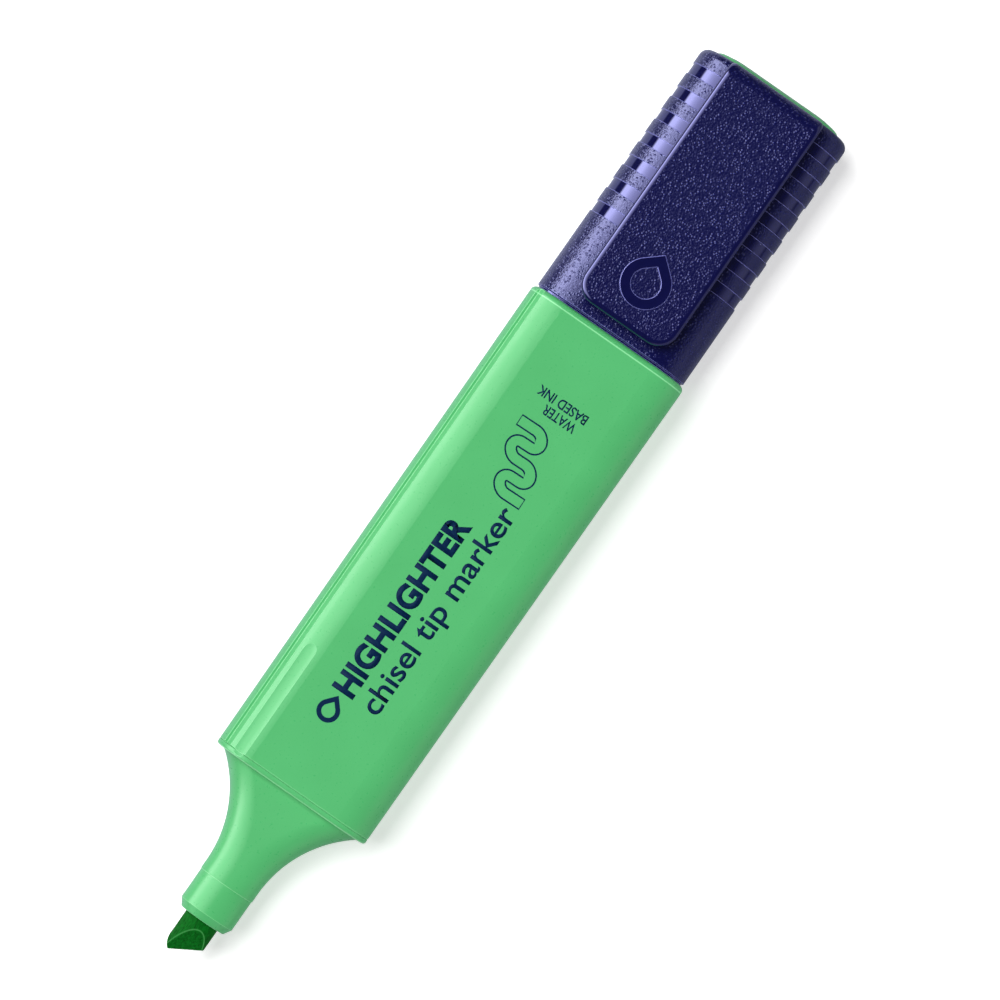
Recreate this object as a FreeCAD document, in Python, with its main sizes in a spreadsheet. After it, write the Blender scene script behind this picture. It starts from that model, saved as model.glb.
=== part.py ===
"""Flat-barrelled chisel-tip highlighter, lying on its back with its cap posted on the rear end.

The X axis is the pen's long axis: the nib points to -X and the cap sits at +X. +Y is the left-hand
side of the pen when the clip faces the viewer and the cap is up. +Z comes out of the clip side.
Every body is drawn about the pen's own centre line, with x = 0 at the shoulder where the neck meets
the barrel, and is then placed so that the back of the barrel rests on z = 0.
"""
import FreeCAD, Part
import math
import os

import Sketcher
from FreeCAD import Placement, Rotation, Vector

# alias: (millimetres, degrees or a plain count, what it is)
DIMENSIONS = {
    "cut_clear": (1.0, "how far a cutting outline stands clear of what it cuts"),
    "barrel_length": (79.8, "shoulder to rear end, with the neck's flange"),
    "barrel_wide_front": (25.7, "barrel width at the shoulder"),
    "barrel_wide_rear": (26.25, "barrel width at the rear end"),
    "barrel_deep": (15.2, "barrel thickness"),
    "barrel_skim": (0.003, "drawn over the barrel's thickness and skimmed off to two true planes"),
    "barrel_corner": (5.6, "radius of the barrel's long corners"),
    "barrel_rear_round": (0.85, "rounding of the barrel's rear edge"),
    "hollow_wide": (22.9, "width of the barrel's hollow"),
    "hollow_deep": (12.5, "thickness of the barrel's hollow"),
    "hollow_corner": (4.4, "corner radius of the barrel's hollow"),
    "channel_start": (30.0, "corner channel, first edge, degrees round from the side"),
    "channel_end": (50.0, "corner channel, last edge, degrees round from the side"),
    "channel_lean": (4.0, "lean of each wall of the corner channel, degrees round the corner"),
    "channel_deep": (0.38, "depth of the corner channel"),
    "scoop_angle": (67.5, "thumb scoop, degrees round the corner from the side"),
    "scoop_wide": (1.93, "width of the thumb scoop"),
    "scoop_start": (0.4, "shoulder to the thumb scoop"),
    "scoop_end": (19.2, "shoulder to the far end of the thumb scoop"),
    "scoop_floor": (3.5, "radius of the thumb scoop's hollow floor"),
    "flange_thick": (0.85, "flange of the front section, outside the barrel"),
    "flange_round": (0.42, "rounding of the flange's front edge"),
    "edge_break": (0.12, "small rounding on moulded edges"),
    "neck_wide": (23.3, "neck width at the shoulder"),
    "neck_deep": (11.9, "neck thickness at the shoulder"),
    "neck_corner": (5.0, "corner radius of the neck at the shoulder"),
    "neck_arc_end": (14.6, "shoulder to where the neck turns parallel"),
    "neck_arc_radius": (18.7, "radius of the neck's side in plan"),
    "neck_end": (16.0, "shoulder to the collar"),
    "neck_round": (8.9, "neck width at the collar"),
    "neck_flat": (0.7, "width left flat on each side of the neck at the collar"),
    "collar_round": (8.72, "collar diameter"),
    "collar_length": (4.95, "collar length"),
    "collar_taper": (1.15, "length of the collar's end taper"),
    "collar_tip": (7.3, "diameter of the collar's end face"),
    "spigot_length": (5.0, "length of the plug parts that enter the barrel"),
    "spigot_fit": (0.02, "clearance per side of the plug parts in the barrel"),
    "spigot_wall": (1.3, "wall of the plug parts that enter the barrel"),
    "vent_wide": (0.6, "width of an air vent beside the nib"),
    "vent_deep": (0.45, "depth of an air vent beside the nib"),
    "vent_count": (4, "number of air vents beside the nib"),
    "nib_round": (5.3, "nib diameter"),
    "nib_fit": (0.02, "radial gap between nib and collar bore"),
    "nib_out": (6.15, "nib length outside the collar"),
    "nib_inside": (33.0, "nib length behind the collar's end face"),
    "nib_slant": (31.0, "angle of the chisel edge, degrees"),
    "nib_bevel": (28.7, "angle of each bevel to the nib's middle plane, degrees"),
    "nib_land": (2.0, "thickness of the chisel edge"),
    "nib_tip_side": (1.75, "chisel tip, distance to the left of the centre line"),
    "nib_shoulder": (2.0, "length of the rounded left side of the tip"),
    "nib_tail_round": (0.6, "rounding of the nib's inner end"),
    "fibre_wide": (20.0, "ink reservoir width"),
    "fibre_deep": (10.8, "ink reservoir thickness"),
    "fibre_start": (6.2, "shoulder to the front of the reservoir"),
    "fibre_length": (68.0, "ink reservoir length"),
    "film_wall": (0.15, "wall of the film sleeve round the reservoir"),
    "film_inset": (1.5, "fibre left bare at each end of the film sleeve"),
    "cap_gap": (0.35, "plug flange and clearance between barrel and cap"),
    "cap_length": (41.8, "cap length, rim to top"),
    "cap_wide_rim": (25.4, "cap width at the rim"),
    "cap_wide_top": (25.2, "cap width at the top"),
    "cap_deep": (14.6, "cap thickness"),
    "cap_corner": (7.0, "radius of the cap's long corners"),
    "cap_top_round": (1.35, "rounding of the cap's top edge"),
    "cap_fit": (0.08, "clearance per side between cap and boss or neck"),
    "cap_lip": (1.5, "thickness of the cap's top wall"),
    "boss_length": (10.0, "length of the rear boss that the cap is posted on"),
    "boss_round": (0.6, "rounding of the boss's end"),
    "plug_flange": (0.3, "thickness of the rear plug's flange"),
    "plug_flange_inset": (0.75, "step in from the barrel's rear outline to the flange"),
    "groove_count": (7, "number of grip grooves on each side of the cap"),
    "groove_pitch": (4.01, "pitch of the grip grooves"),
    "groove_wide": (1.8, "width of one grip groove"),
    "groove_deep": (0.17, "depth of one grip groove"),
    "groove_first": (2.9, "cap top to the first grip groove"),
    "groove_reach": (5.2, "centre line to the blind end of a grip groove"),
    "insert_wide": (21.2, "width of the opening in the cap's top"),
    "insert_deep": (10.4, "thickness of the opening in the cap's top"),
    "insert_corner": (4.6, "corner radius of the opening in the cap's top"),
    "insert_fit": (0.05, "gap per side between the liner and the cap's top opening"),
    "dome_height": (0.8, "height of the liner's dome above the cap's top"),
    "dome_inset": (3.2, "how far the dome draws in towards its crown"),
    "liner_plate": (1.2, "thickness of the liner's plate under the cap's top wall"),
    "sleeve_round": (11.2, "outer diameter of the sealing sleeve"),
    "sleeve_fit": (0.04, "radial clearance between sealing sleeve and collar"),
    "sleeve_mouth": (16.4, "cap rim to the mouth of the sealing sleeve"),
    "web_thick": (1.0, "thickness of the webs beside the sealing sleeve"),
    "web_length": (14.0, "length of the webs beside the sealing sleeve"),
    "clip_wide": (16.0, "clip width"),
    "clip_length": (40.2, "clip length"),
    "clip_thick": (1.6, "clip thickness"),
    "clip_rise": (3.1, "clip's outer face above the cap's front face"),
    "clip_corner": (3.2, "radius of the clip's free corners"),
    "clip_top_curve": (2.6, "radius of the clip's curve into the cap's top"),
    "clip_rim": (0.8, "rounding of the clip's outer edge"),
    "clip_root_clear": (0.3, "gap between the clip's top end and the cap's front face"),
    "clip_top_inset": (0.08, "cap top to the clip's top end"),
    "clip_root_lean": (30.0, "where the blade meets its root roll, degrees above the roll's middle"),
    "mark_from_end": (6.75, "clip's free end to the middle of the raised ink drop's round part"),
    "mark_round": (7.4, "diameter of the ink drop's round part"),
    "mark_point": (4.9, "middle of the ink drop's round part to its point"),
    "mark_line": (1.5, "line width of the ink drop's outline"),
    "mark_high": (0.1, "height of the ink drop above the clip's face"),
    "toe_from_end": (4.2, "clip's free end to the middle of its toe"),
    "toe_radius": (2.6, "radius of the clip's toe"),
    "toe_clear": (0.25, "gap between the clip's toe and the cap at rest"),
    "hinge_from_top": (2.6, "cap top to the clip's bending line"),
    "hinge_rise": (0.35, "height of the bending line above the cap's front face"),
    "hinge_round": (2.3, "diameter of the clip's root roll"),
    "hinge_fit": (0.06, "clearance between the root roll and its seat"),
    "hinge_wide": (13.6, "width of the clip's root roll"),
}


class Size:
    """A dimension that carries its value and the expression that binds a property to it."""

    def __init__(self, value, text):
        self.value = value
        self.text = text

    @staticmethod
    def of(other):
        return other if isinstance(other, Size) else Size(float(other), repr(float(other)))

    def __add__(self, other):
        other = Size.of(other)
        return Size(self.value + other.value, f"({self.text} + {other.text})")

    def __sub__(self, other):
        other = Size.of(other)
        return Size(self.value - other.value, f"({self.text} - {other.text})")

    def __mul__(self, other):
        other = Size.of(other)
        return Size(self.value * other.value, f"({self.text} * {other.text})")

    def __truediv__(self, other):
        other = Size.of(other)
        return Size(self.value / other.value, f"({self.text} / {other.text})")

    def __rsub__(self, other):
        return Size.of(other) - self

    def __rmul__(self, other):
        return self * other

    def __neg__(self):
        return self * -1

    def cos(self):
        """Cosine of an angle held in degrees."""
        return Size(math.cos(math.radians(self.value)), f"cos({self.text})")

    def sin(self):
        """Sine of an angle held in degrees."""
        return Size(math.sin(math.radians(self.value)), f"sin({self.text})")

    def root(self):
        return Size(math.sqrt(self.value), f"sqrt({self.text})")


def read_sheet(sheet):
    """Turn every named cell into a Size, under one object with plain attribute names."""

    class Names:
        pass

    names = Names()
    for alias in DIMENSIONS:
        setattr(names, alias, Size(float(sheet.get(alias)), f"{sheet.Name}.{alias}"))
    return names


doc = FreeCAD.newDocument("highlighter")
sheet = doc.addObject("Spreadsheet::Sheet", "sizes")
for row, (alias, (value, meaning)) in enumerate(DIMENSIONS.items(), start=1):
    sheet.set(f"A{row}", meaning)
    sheet.set(f"B{row}", str(value))
    sheet.setAlias(f"B{row}", alias)
doc.recompute()
d = read_sheet(sheet)

# positions along the pen that several pieces share, measured from the shoulder
collar_end = d.neck_end + d.collar_length + d.collar_taper
nib_tip = collar_end + d.nib_out
cap_rim = d.barrel_length + d.cap_gap
cap_top = cap_rim + d.cap_length
cap_front = d.cap_deep / 2
cap_hollow_wide = d.neck_wide + 2 * d.cap_fit
cap_hollow_deep = d.neck_deep + 2 * d.cap_fit
cap_hollow_corner = d.neck_corner + d.cap_fit
plate_top = cap_top - d.cap_lip
plate_bottom = plate_top - d.liner_plate
centring = (nib_tip - cap_top - d.dome_height) / 2
SECTION, PLAN, SIDE = "YZ_Plane", "XY_Plane", "XZ_Plane"
ROUNDING_STEPS = 4
NECK_STEPS = 7
DOME_STEPS = 4


def new_body(label):
    """A body in the shared frame: centred along X, with the barrel's back on z = 0."""
    body = doc.addObject("PartDesign::Body", label)
    body.Label = label
    body.setExpression("Placement.Base.x", centring.text)
    body.setExpression("Placement.Base.z", (d.barrel_deep / 2).text)
    return body


def new_sketch(body, name, plane, lift=None):
    """A sketch on one of the body's own origin planes, lifted along the plane's normal."""
    sketch = body.newObject("Sketcher::SketchObject", name)
    origin_plane = [item for item in body.Origin.OriginFeatures if item.Role == plane][0]
    sketch.AttachmentSupport = (origin_plane, [""])
    sketch.MapMode = "FlatFace"
    if lift is not None:
        sketch.setExpression("AttachmentOffset.Base.z", lift.text)
    return sketch


def fix(sketch, kind, *where_and_size):
    """Add one driving constraint whose last argument is a Size."""
    *where, size = where_and_size
    size = Size.of(size)
    index = sketch.addConstraint(Sketcher.Constraint(kind, *where, size.value))
    sketch.setExpression(f"Constraints[{index}]", size.text)


def end_at(curve, point):
    """Sketcher's number for the end of a curve that lies at a point: 1 for its start, 2 for its end."""
    return 1 if (curve.StartPoint - point).Length < (curve.EndPoint - point).Length else 2


def draw_outline(sketch, corners):
    """A closed outline through corners (x, y) or (x, y, radius), added to what the sketch holds.

    A radius makes the edge that arrives at that corner an arc of less than half a turn: positive
    where the path turns left and negative where it turns right.
    """
    corners = [tuple(Size.of(value) for value in corner) for corner in corners]
    points = [Vector(corner[0].value, corner[1].value) for corner in corners]
    count = len(corners)
    first_edge = sketch.GeometryCount
    for index, corner in enumerate(corners):
        start, end = points[index - 1], points[index]
        if len(corner) == 2:
            sketch.addGeometry(Part.LineSegment(start, end))
            continue
        radius = corner[2].value
        chord = end - start
        bulge = abs(radius) - math.sqrt(radius ** 2 - chord.Length ** 2 / 4)
        middle = (start + end) / 2 + Vector(chord.y, -chord.x).normalize() * math.copysign(bulge, radius)
        # a sketch holds every arc anticlockwise, so one that turns right is given from its far end
        ends = (start, end) if radius > 0 else (end, start)
        sketch.addGeometry(Part.Arc(ends[0], middle, ends[1]))
    for index, corner in enumerate(corners):
        edge = first_edge + index
        next_edge = first_edge + (index + 1) % count
        here = end_at(sketch.Geometry[edge], points[index])
        there = end_at(sketch.Geometry[next_edge], points[index])
        sketch.addConstraint(Sketcher.Constraint("Coincident", edge, here, next_edge, there))
        fix(sketch, "DistanceX", edge, here, corner[0])
        fix(sketch, "DistanceY", edge, here, corner[1])
        if len(corner) == 3:
            fix(sketch, "Radius", edge, corner[2] if corner[2].value > 0 else -corner[2])


def draw_circle(sketch, across, centre=(0, 0)):
    """A circle of the given diameter."""
    across = Size.of(across)
    x, y = Size.of(centre[0]), Size.of(centre[1])
    edge = sketch.addGeometry(Part.Circle(Vector(x.value, y.value), Vector(0, 0, 1), across.value / 2))
    fix(sketch, "DistanceX", edge, 3, x)
    fix(sketch, "DistanceY", edge, 3, y)
    fix(sketch, "Radius", edge, across / 2)


def section(body, name, at, wide, deep, corner):
    """A rounded rectangle across the pen, centred on the pen's axis, at a place along it."""
    sketch = new_sketch(body, name, SECTION, Size.of(at))
    right, top = wide / 2, deep / 2
    draw_outline(sketch, [
        (-right, corner - top),
        (corner - right, -top, corner),
        (right - corner, -top),
        (right, corner - top, corner),
        (right, top - corner),
        (right - corner, top, corner),
        (corner - right, top),
        (-right, top - corner, corner),
    ])
    return sketch


def disc(body, name, at, across):
    """A circle across the pen, centred on the pen's axis, at a place along it."""
    sketch = new_sketch(body, name, SECTION, Size.of(at))
    draw_circle(sketch, across)
    return sketch


def pad(body, name, sketch, length, forwards=True, both_ways=False):
    feature = body.newObject("PartDesign::Pad", name)
    feature.Profile = sketch
    feature.setExpression("Length", Size.of(length).text)
    feature.Reversed = not forwards
    feature.SideType = "Symmetric" if both_ways else "One side"
    doc.recompute()
    return feature


def cut(body, kind, name, sketch, set_up):
    """A feature that takes material away, checked against the volume that it started from."""
    before = body.Shape.Volume
    feature = body.newObject(kind, name)
    feature.Profile = sketch
    set_up(feature)
    doc.recompute()
    if not body.Shape.Volume < before - 1e-4:
        raise RuntimeError(f"{name} cuts nothing: {feature.getStatusString()}")
    return feature


def pocket(body, name, sketch, length, forwards=False, both_ways=False):
    def set_up(feature):
        feature.setExpression("Length", Size.of(length).text)
        feature.Reversed = forwards
        feature.SideType = "Symmetric" if both_ways else "One side"

    return cut(body, "PartDesign::Pocket", name, sketch, set_up)


def turn_cut(body, name, sketch):
    """Take away what the sketch sweeps in a full turn about its own horizontal axis."""

    def set_up(feature):
        feature.ReferenceAxis = (sketch, ["H_Axis"])
        feature.Angle = 360

    return cut(body, "PartDesign::Groove", name, sketch, set_up)


def loft(body, name, sketches, ruled=False):
    feature = body.newObject("PartDesign::AdditiveLoft", name)
    feature.Profile = sketches[0]
    feature.Sections = sketches[1:]
    feature.Ruled = ruled
    doc.recompute()
    return feature


def loft_cut(body, name, sketches, ruled=False):
    def set_up(feature):
        feature.Sections = sketches[1:]
        feature.Ruled = ruled

    return cut(body, "PartDesign::SubtractiveLoft", name, sketches[0], set_up)


def rounded_end(body, name, at, wide, deep, corner, radius, outwards, steps=ROUNDING_STEPS):
    """The last stretch of a rounded bar, from full section at a place to its rolled-over end face.

    outwards is 1 where the bar ends towards the cap and -1 where it ends towards the nib. With one
    step the end is a plain chamfer.
    """
    sketches = []
    for number in range(steps + 1):
        angle = math.pi / 2 * number / steps
        inset = radius * (1 - math.cos(angle))
        place = at + outwards * radius * math.sin(angle)
        sketches.append(section(body, f"{name}_{number}", place, wide - 2 * inset, deep - 2 * inset,
                                corner - inset))
    return loft(body, name, sketches, ruled=steps == 1)


def round_edges(body, name, radius, wanted):
    """Round the edges of the body's present shape whose points all satisfy a test."""
    base = body.Tip
    names = []
    for number, edge in enumerate(base.Shape.Edges, start=1):
        if all(wanted(point) for point in edge.discretize(5)):
            names.append(f"Edge{number}")
    if not names:
        raise RuntimeError(f"{name} finds no edge")
    feature = body.newObject("PartDesign::Fillet", name)
    feature.Base = (base, names)
    feature.setExpression("Radius", Size.of(radius).text)
    doc.recompute()
    return feature


def near(number, size, slack=0.01):
    return abs(number - Size.of(size).value) < slack


def draw_barrel():
    """The hollow ink barrel, open at both ends, with a corner channel and a scoop front and back."""
    body = new_body("barrel")
    tube_start = d.flange_thick + d.edge_break
    tube_end = d.barrel_length - d.barrel_rear_round
    drawn_deep = d.barrel_deep + 2 * d.barrel_skim
    tube = [section(body, "front_outline", tube_start, d.barrel_wide_front, drawn_deep, d.barrel_corner),
            section(body, "rear_outline", tube_end, d.barrel_wide_rear, drawn_deep, d.barrel_corner)]
    loft(body, "tube", tube, ruled=True)
    rounded_end(body, "rear_rounding", tube_end, d.barrel_wide_rear, drawn_deep, d.barrel_corner,
                d.barrel_rear_round, 1)
    rounded_end(body, "front_chamfer", tube_start, d.barrel_wide_front, drawn_deep,
                d.barrel_corner, d.edge_break, -1, steps=1)
    half = d.barrel_wide_rear / 2
    rear = d.barrel_length + d.cut_clear
    for side, label in ((1, "front"), (-1, "back")):
        face = new_sketch(body, f"{label}_plane_outline", PLAN, side * d.barrel_deep / 2)
        draw_outline(face, [(0, -half), (rear, -half), (rear, half), (0, half)])
        pocket(body, f"{label}_plane", face, d.cut_clear, forwards=side > 0)
    hollow = section(body, "hollow_outline", d.flange_thick, d.hollow_wide, d.hollow_deep,
                     d.hollow_corner)
    pocket(body, "hollow", hollow, d.barrel_length, forwards=True)
    for side, label in ((1, "front"), (-1, "back")):
        ends = []
        for at, wide in ((d.flange_thick, d.barrel_wide_front), (d.barrel_length, d.barrel_wide_rear)):
            ends.append(channel_end(body, f"{label}_channel_{len(ends) + 1}", at, wide, side))
        loft_cut(body, f"{label}_channel", ends, ruled=True)
    cut_scoops(body)
    return body


def channel_end(body, name, at, wide, side):
    """The channel's cross-section at one end of the barrel, on the corner at +Y+Z or at -Y-Z."""
    sketch = new_sketch(body, name, SECTION, at)
    centre_y = wide / 2 - d.barrel_corner
    centre_z = d.barrel_deep / 2 - d.barrel_corner
    outside = d.barrel_corner + d.channel_deep
    floor = d.barrel_corner - d.channel_deep
    polar = ((d.channel_start, outside), (d.channel_end, outside),
             (d.channel_end - d.channel_lean, floor), (d.channel_start + d.channel_lean, floor))
    draw_outline(sketch, [(side * (centre_y + radius * angle.cos()), side * (centre_z + radius * angle.sin()))
                          for angle, radius in polar])
    return sketch


def cut_scoops(body):
    """The two thumb scoops, front left and back right, sunk into the long corners by a round bar.

    The bar has ball ends and lies along the pen, so that it dips into the corner as far as the
    scoop's width asks for. Each scoop runs over the seam from the barrel on to the flange.
    """
    half = d.scoop_wide / 2
    corner, floor = d.barrel_corner, d.scoop_floor
    apart = (corner * corner - half * half).root() + (floor * floor - half * half).root()
    centre_y = d.barrel_wide_front / 2 - corner + apart * d.scoop_angle.cos()
    centre_z = d.barrel_deep / 2 - corner + apart * d.scoop_angle.sin()
    start, end = d.scoop_start + half, d.scoop_end - half
    for side, label in ((1, "front"), (-1, "back")):
        bar = new_sketch(body, f"{label}_scoop_outline", PLAN, side * centre_z)
        bar.setExpression("AttachmentOffset.Base.y", (side * centre_y).text)
        draw_outline(bar, [(start - floor, 0, floor), (end + floor, 0), (end, floor, floor),
                           (start, floor)])
        turn_cut(body, f"{label}_scoop", bar)


def neck_fraction(forward):
    """How far the neck has still to narrow at a distance in front of the shoulder, from 1 to 0."""
    radius = d.neck_arc_radius
    whole = radius - (radius * radius - d.neck_arc_end * d.neck_arc_end).root()
    left = d.neck_arc_end - forward
    return (radius - (radius * radius - left * left).root()) / whole


def neck_section(body, name, forward, wall=0):
    """The neck's outline, or with a wall its hollow's outline, in front of the shoulder."""
    fraction = neck_fraction(forward)
    wide = d.neck_round + (d.neck_wide - d.neck_round) * fraction
    deep = d.neck_round + (d.neck_deep - d.neck_round) * fraction
    end_corner = (d.neck_round - d.neck_flat) / 2
    corner = end_corner + (d.neck_corner - end_corner) * fraction
    return section(body, name, -forward, wide - 2 * wall, deep - 2 * wall, corner - wall)


def spigot_section(body, at):
    """The outline of a plug part that fits in either end of the barrel's hollow."""
    return section(body, "spigot_outline", at, d.hollow_wide - 2 * d.spigot_fit,
                   d.hollow_deep - 2 * d.spigot_fit, d.hollow_corner - d.spigot_fit)


def beyond_neck(point):
    """True for a point that lies wider or higher than the neck's outline at the shoulder."""
    slack = d.flange_thick.value / 2
    return (abs(point.y) > d.neck_wide.value / 2 + slack
            or abs(point.z) > d.neck_deep.value / 2 + slack)


def draw_front_section():
    """The neck that carries the nib: flange, plug into the barrel, tapering neck and round collar."""
    body = new_body("front_section")
    step = d.neck_arc_end / NECK_STEPS
    loft(body, "neck", [neck_section(body, f"neck_{n}", step * n) for n in range(NECK_STEPS + 1)])
    parallel = neck_section(body, "neck_parallel", d.neck_arc_end)
    pad(body, "neck_tube", parallel, d.neck_end - d.neck_arc_end, forwards=False)
    pad(body, "collar", disc(body, "collar_outline", -d.neck_end, d.collar_round), d.collar_length,
        forwards=False)
    taper = [disc(body, "taper_start", d.collar_taper - collar_end, d.collar_round),
             disc(body, "taper_end", -collar_end, d.collar_tip)]
    loft(body, "collar_taper", taper, ruled=True)
    flange = section(body, "flange_outline", 0, d.barrel_wide_front, d.barrel_deep, d.barrel_corner)
    pad(body, "flange", flange, d.flange_thick)
    round_edges(body, "flange_rounding", d.flange_round, lambda p: near(p.x, 0) and beyond_neck(p))
    round_edges(body, "seam_rounding", d.edge_break, lambda p: near(p.x, d.flange_thick) and beyond_neck(p))
    cut_scoops(body)
    spigot = spigot_section(body, d.flange_thick)
    pad(body, "spigot", spigot, d.spigot_length)
    hollow = section(body, "spigot_hollow_outline", 0, d.neck_wide - 2 * d.spigot_wall,
                     d.neck_deep - 2 * d.spigot_wall, d.neck_corner - d.spigot_wall)
    pocket(body, "spigot_hollow", hollow, d.flange_thick + d.spigot_length, forwards=True)
    hollow_steps = NECK_STEPS - 2
    inner = [neck_section(body, f"neck_hollow_{n}", step * n, d.spigot_wall)
             for n in range(hollow_steps + 1)]
    loft_cut(body, "neck_hollow", inner)
    bore = disc(body, "bore_outline", -collar_end, d.nib_round + 2 * d.nib_fit)
    pocket(body, "bore", bore, collar_end, forwards=True)
    vent = new_sketch(body, "vent_outline", SECTION, -collar_end)
    half = d.vent_wide / 2
    reach = d.nib_round / 2 + d.vent_deep
    draw_outline(vent, [(-half, 0), (half, 0), (half, reach), (-half, reach)])
    first_vent = pocket(body, "vent", vent, collar_end - step * hollow_steps, forwards=True)
    vents = body.newObject("PartDesign::PolarPattern", "vents")
    vents.Originals = [first_vent]
    vents.Axis = ([item for item in body.Origin.OriginFeatures if item.Role == "X_Axis"][0], [""])
    vents.Angle = 360
    vents.setExpression("Occurrences", d.vent_count.text)
    body.Tip = vents
    doc.recompute()
    return body


def draw_nib():
    """The felt chisel nib: a round rod, cut on a slant and bevelled front and back to one edge."""
    body = new_body("nib")
    pad(body, "rod", disc(body, "rod_outline", -nib_tip, d.nib_round), d.nib_out + d.nib_inside)
    half = d.nib_round / 2
    clear = half + d.cut_clear
    slope = d.nib_slant.sin() / d.nib_slant.cos()
    side_step = half - d.nib_tip_side
    side_radius = (d.nib_shoulder * d.nib_shoulder + side_step * side_step) / (2 * side_step)
    plan = new_sketch(body, "tip_plan", PLAN)
    draw_outline(plan, [
        (-nib_tip, d.nib_tip_side, side_radius),
        (slope * (d.nib_tip_side + clear) - nib_tip, -clear),
        (-nib_tip - clear, -clear),
        (-nib_tip - clear, clear),
        (d.nib_shoulder - nib_tip, clear),
        (d.nib_shoulder - nib_tip, half),
    ])
    pocket(body, "slant_cut", plan, d.nib_round * 2, both_ways=True)
    bevel = new_sketch(body, "bevel_outline", SIDE)
    bevel.AttachmentOffset = Placement(Vector(0, 0, 0), Rotation(Vector(0, 1, 0), d.nib_slant.value))
    bevel.setExpression("AttachmentOffset.Rotation.Angle", d.nib_slant.text)
    bevel.setExpression("AttachmentOffset.Base.x", (-nib_tip).text)
    bevel.setExpression("AttachmentOffset.Base.z", (-d.nib_tip_side).text)
    rise = d.nib_bevel.sin() / d.nib_bevel.cos()
    length = d.nib_round + d.cut_clear
    for side in (1, -1):
        start = side * (d.nib_land / 2 - rise * d.cut_clear)
        end = side * (d.nib_land / 2 + rise * length)
        draw_outline(bevel, [(-d.cut_clear, start), (length, end), (-d.cut_clear, end)])
    pocket(body, "bevels", bevel, d.nib_round * 3, both_ways=True)
    round_edges(body, "tail_rounding", d.nib_tail_round, lambda p: near(p.x, d.nib_inside - collar_end))
    return body


def draw_ink_reservoir():
    """The fibre block that holds the ink, with a blind hole where the nib's tail presses in."""
    body = new_body("ink_reservoir")
    outline = section(body, "outline", d.fibre_start, d.fibre_wide, d.fibre_deep,
                      d.fibre_deep / 2 - d.edge_break)
    pad(body, "fibre", outline, d.fibre_length)
    socket = disc(body, "nib_socket_outline", d.fibre_start, d.nib_round + 2 * d.nib_fit)
    pocket(body, "nib_socket", socket, d.nib_inside - collar_end - d.fibre_start, forwards=True)
    return body


def draw_reservoir_film():
    """The thin film sleeve round the fibre block, open at both ends."""
    body = new_body("reservoir_film")
    start = d.fibre_start + d.film_inset
    corner = d.fibre_deep / 2 - d.edge_break
    outline = section(body, "outline", start, d.fibre_wide + 2 * d.film_wall,
                      d.fibre_deep + 2 * d.film_wall, corner + d.film_wall)
    pad(body, "sleeve", outline, d.fibre_length - 2 * d.film_inset)
    inside = section(body, "inside_outline", start, d.fibre_wide, d.fibre_deep, corner)
    pocket(body, "inside", inside, d.fibre_length, forwards=True)
    return body


def draw_rear_plug():
    """The plug that closes the barrel, with a thin flange and the boss that the cap is posted on."""
    body = new_body("rear_plug")
    flange = section(body, "flange_outline", d.barrel_length, d.barrel_wide_rear - 2 * d.plug_flange_inset,
                     d.barrel_deep - 2 * d.plug_flange_inset, d.barrel_corner - d.plug_flange_inset)
    pad(body, "flange", flange, d.plug_flange)
    boss = section(body, "boss_outline", d.barrel_length + d.plug_flange, d.neck_wide, d.neck_deep,
                   d.neck_corner)
    pad(body, "boss", boss, d.boss_length)
    boss_end = d.barrel_length + d.plug_flange + d.boss_length
    round_edges(body, "boss_rounding", d.boss_round, lambda p: near(p.x, boss_end))
    spigot = spigot_section(body, d.barrel_length)
    pad(body, "spigot", spigot, d.spigot_length, forwards=False)
    hollow = section(body, "hollow_outline", d.barrel_length - d.spigot_length,
                     d.neck_wide - 2 * d.spigot_wall, d.neck_deep - 2 * d.spigot_wall,
                     d.neck_corner - d.spigot_wall)
    pocket(body, "hollow", hollow, d.spigot_length + d.plug_flange + d.boss_length - d.spigot_wall,
           forwards=True)
    return body


def cap_wide_at(from_top):
    """The cap's width at a distance below its top, on its straight taper."""
    return d.cap_wide_top + (d.cap_wide_rim - d.cap_wide_top) * from_top / d.cap_length


def draw_cap_shell():
    """The cap: a tapered shell with a window in its top, grip grooves down both sides and a clip seat."""
    body = new_body("cap_shell")
    shell_start = cap_rim + d.edge_break
    shell_end = cap_top - d.cap_top_round
    rim = section(body, "rim_outline", shell_start, d.cap_wide_rim, d.cap_deep, d.cap_corner)
    top = section(body, "top_outline", shell_end, d.cap_wide_top, d.cap_deep, d.cap_corner)
    loft(body, "shell", [rim, top], ruled=True)
    rounded_end(body, "top_rounding", shell_end, d.cap_wide_top, d.cap_deep, d.cap_corner,
                d.cap_top_round, 1)
    rounded_end(body, "rim_chamfer", shell_start, d.cap_wide_rim, d.cap_deep, d.cap_corner,
                d.edge_break, -1, steps=1)
    for number in range(int(d.groove_count.value)):
        from_top = d.groove_first + d.groove_pitch * number
        grooves = new_sketch(body, f"groove_outline_{number + 1}", SECTION, cap_top - from_top)
        for side in (1, -1):
            draw_outline(grooves, groove_corners(cap_wide_at(from_top + d.groove_wide / 2), side))
        pocket(body, f"groove_{number + 1}", grooves, d.groove_wide)
    inside = section(body, "hollow_outline", cap_rim, cap_hollow_wide, cap_hollow_deep,
                     cap_hollow_corner)
    pocket(body, "hollow", inside, d.cap_length - d.cap_lip, forwards=True)
    window = section(body, "window_outline", cap_top, d.insert_wide, d.insert_deep, d.insert_corner)
    pocket(body, "window", window, d.cap_lip * 2)
    seat = new_sketch(body, "clip_seat_outline", SIDE)
    draw_circle(seat, d.hinge_round + 2 * d.hinge_fit,
                (cap_top - d.hinge_from_top, cap_front + d.hinge_rise))
    pocket(body, "clip_seat", seat, d.hinge_wide + 4 * d.hinge_fit, both_ways=True)
    return body


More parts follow.
